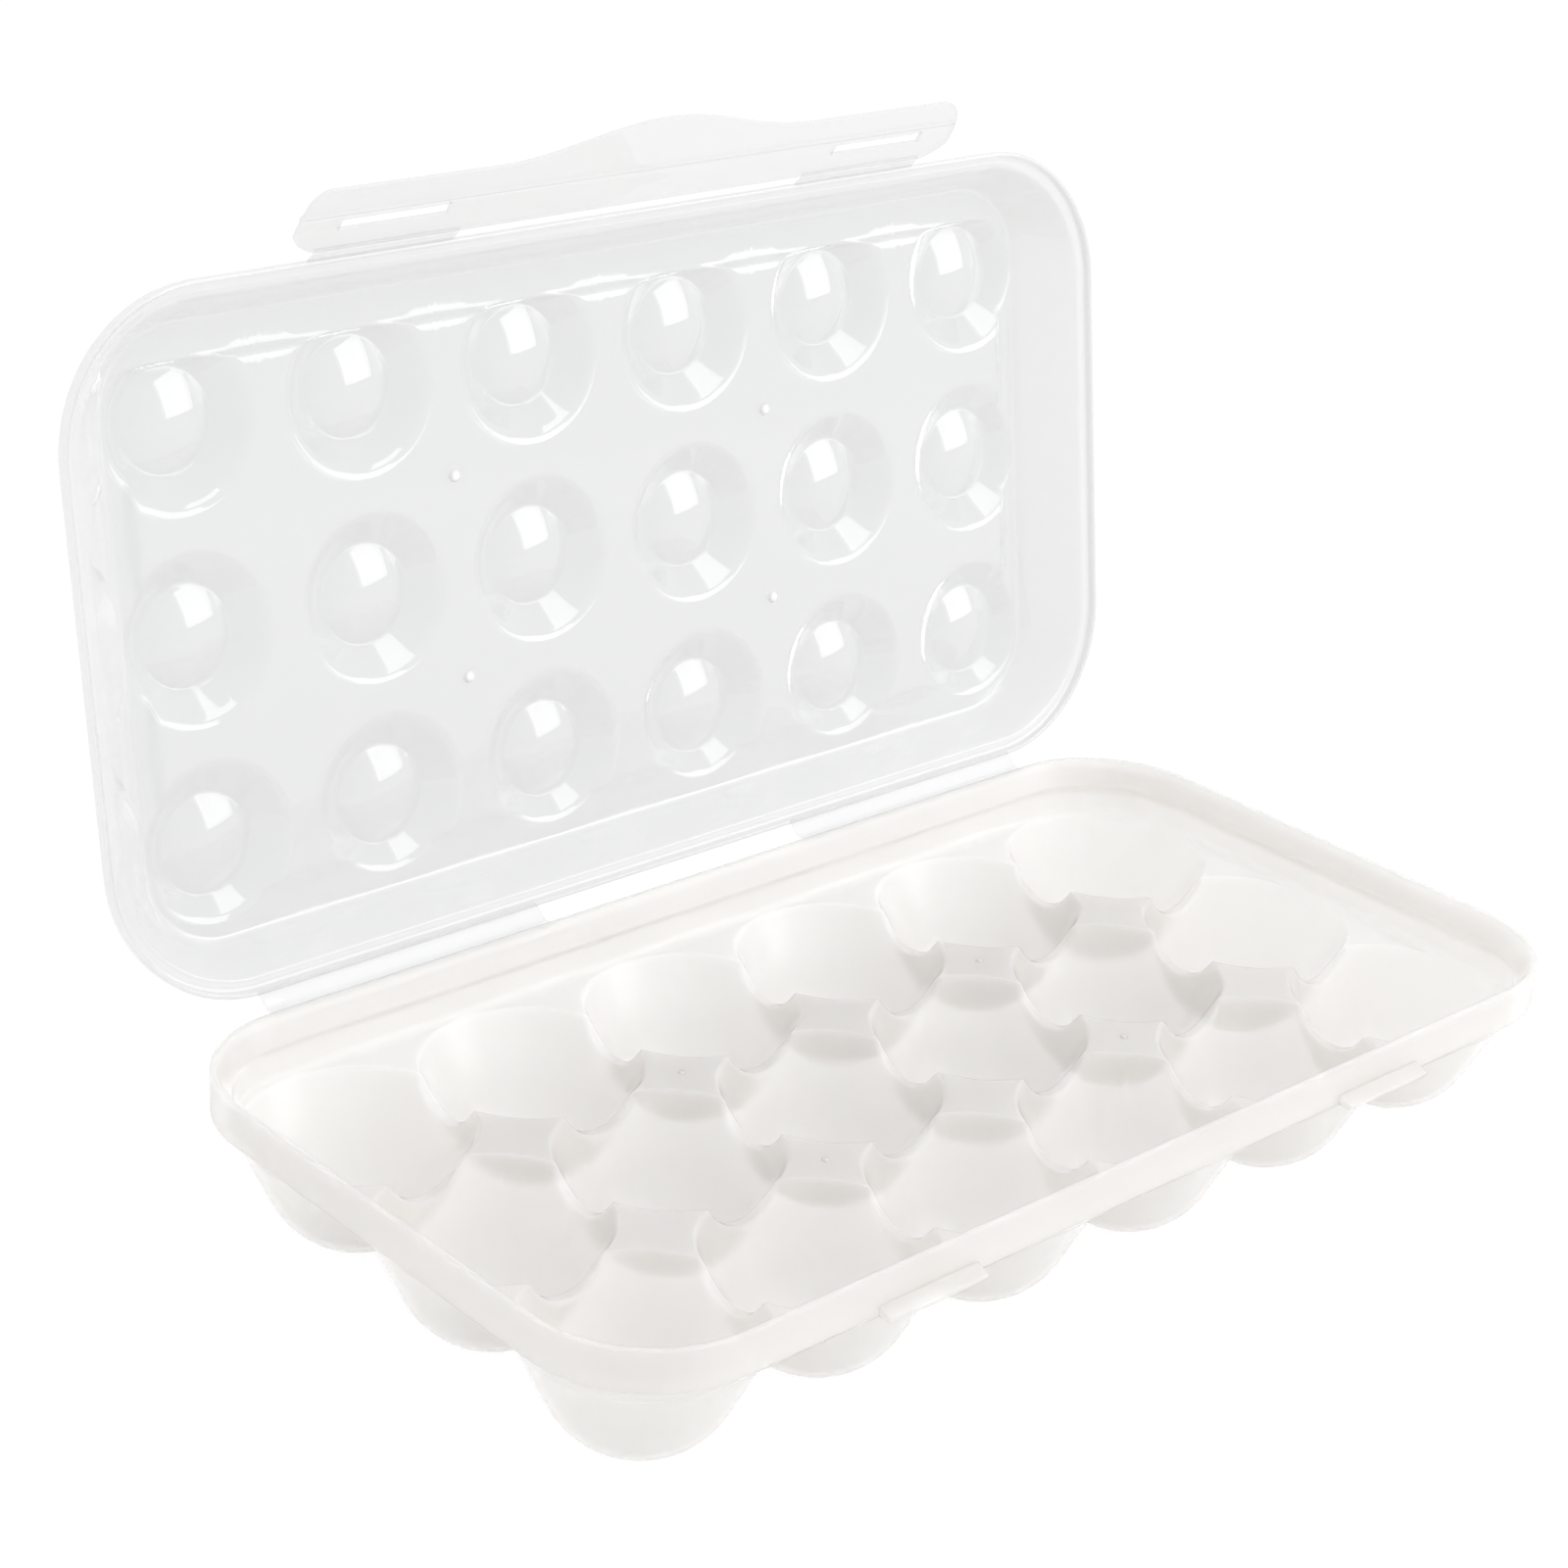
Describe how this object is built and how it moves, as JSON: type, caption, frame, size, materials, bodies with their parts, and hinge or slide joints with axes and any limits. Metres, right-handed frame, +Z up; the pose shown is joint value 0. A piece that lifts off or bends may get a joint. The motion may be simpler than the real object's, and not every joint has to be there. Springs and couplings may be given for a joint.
{
  "type": "egg keeper with flip lid",
  "caption": "Low oblong keeper with a tray of round drop cups, a dimpled clear lid on bending strips and a snap clasp along its front edge.",
  "frame": {"origin": "on the rest plane, at the middle of the part's box as it stands with its lid open", "axes": "+X along the hinge, +Y from the front towards the hinge side, +Z up; the tray's feet are on z = 0"},
  "size_m": [0.31, 0.2089, 0.2271],
  "materials": {
    "tray": "satin milky",
    "lid": "glossy clear",
    "web": "glossy clear"
  },
  "bodies": {
    "tray_body": {"tray": "tray", "rear_hinge_left_tray_leaf": "web", "rear_hinge_right_tray_leaf": "web"},
    "lid_body": {"lid": "lid", "rear_hinge_left_lid_leaf": "web", "rear_hinge_right_lid_leaf": "web", "clasp_hinge_left_lid_leaf": "web", "clasp_hinge_right_lid_leaf": "web"},
    "clasp_body": {"clasp": "lid", "clasp_hinge_left_clasp_leaf": "web", "clasp_hinge_right_clasp_leaf": "web"}
  },
  "joints": [
    {"name": "lid_hinge", "type": "hinge", "parent": "tray_body", "child": "lid_body", "pos_m": [0, 0.06222, 0.0417], "axis": [1, 0, 0], "range_deg": [-20, 98.8]},
    {"name": "clasp_hinge", "type": "hinge", "parent": "lid_body", "child": "clasp_body", "pos_m": [0, 0.08827, 0.2041], "axis": [1, 0, 0], "range_deg": [-60, 50]}
  ]
}
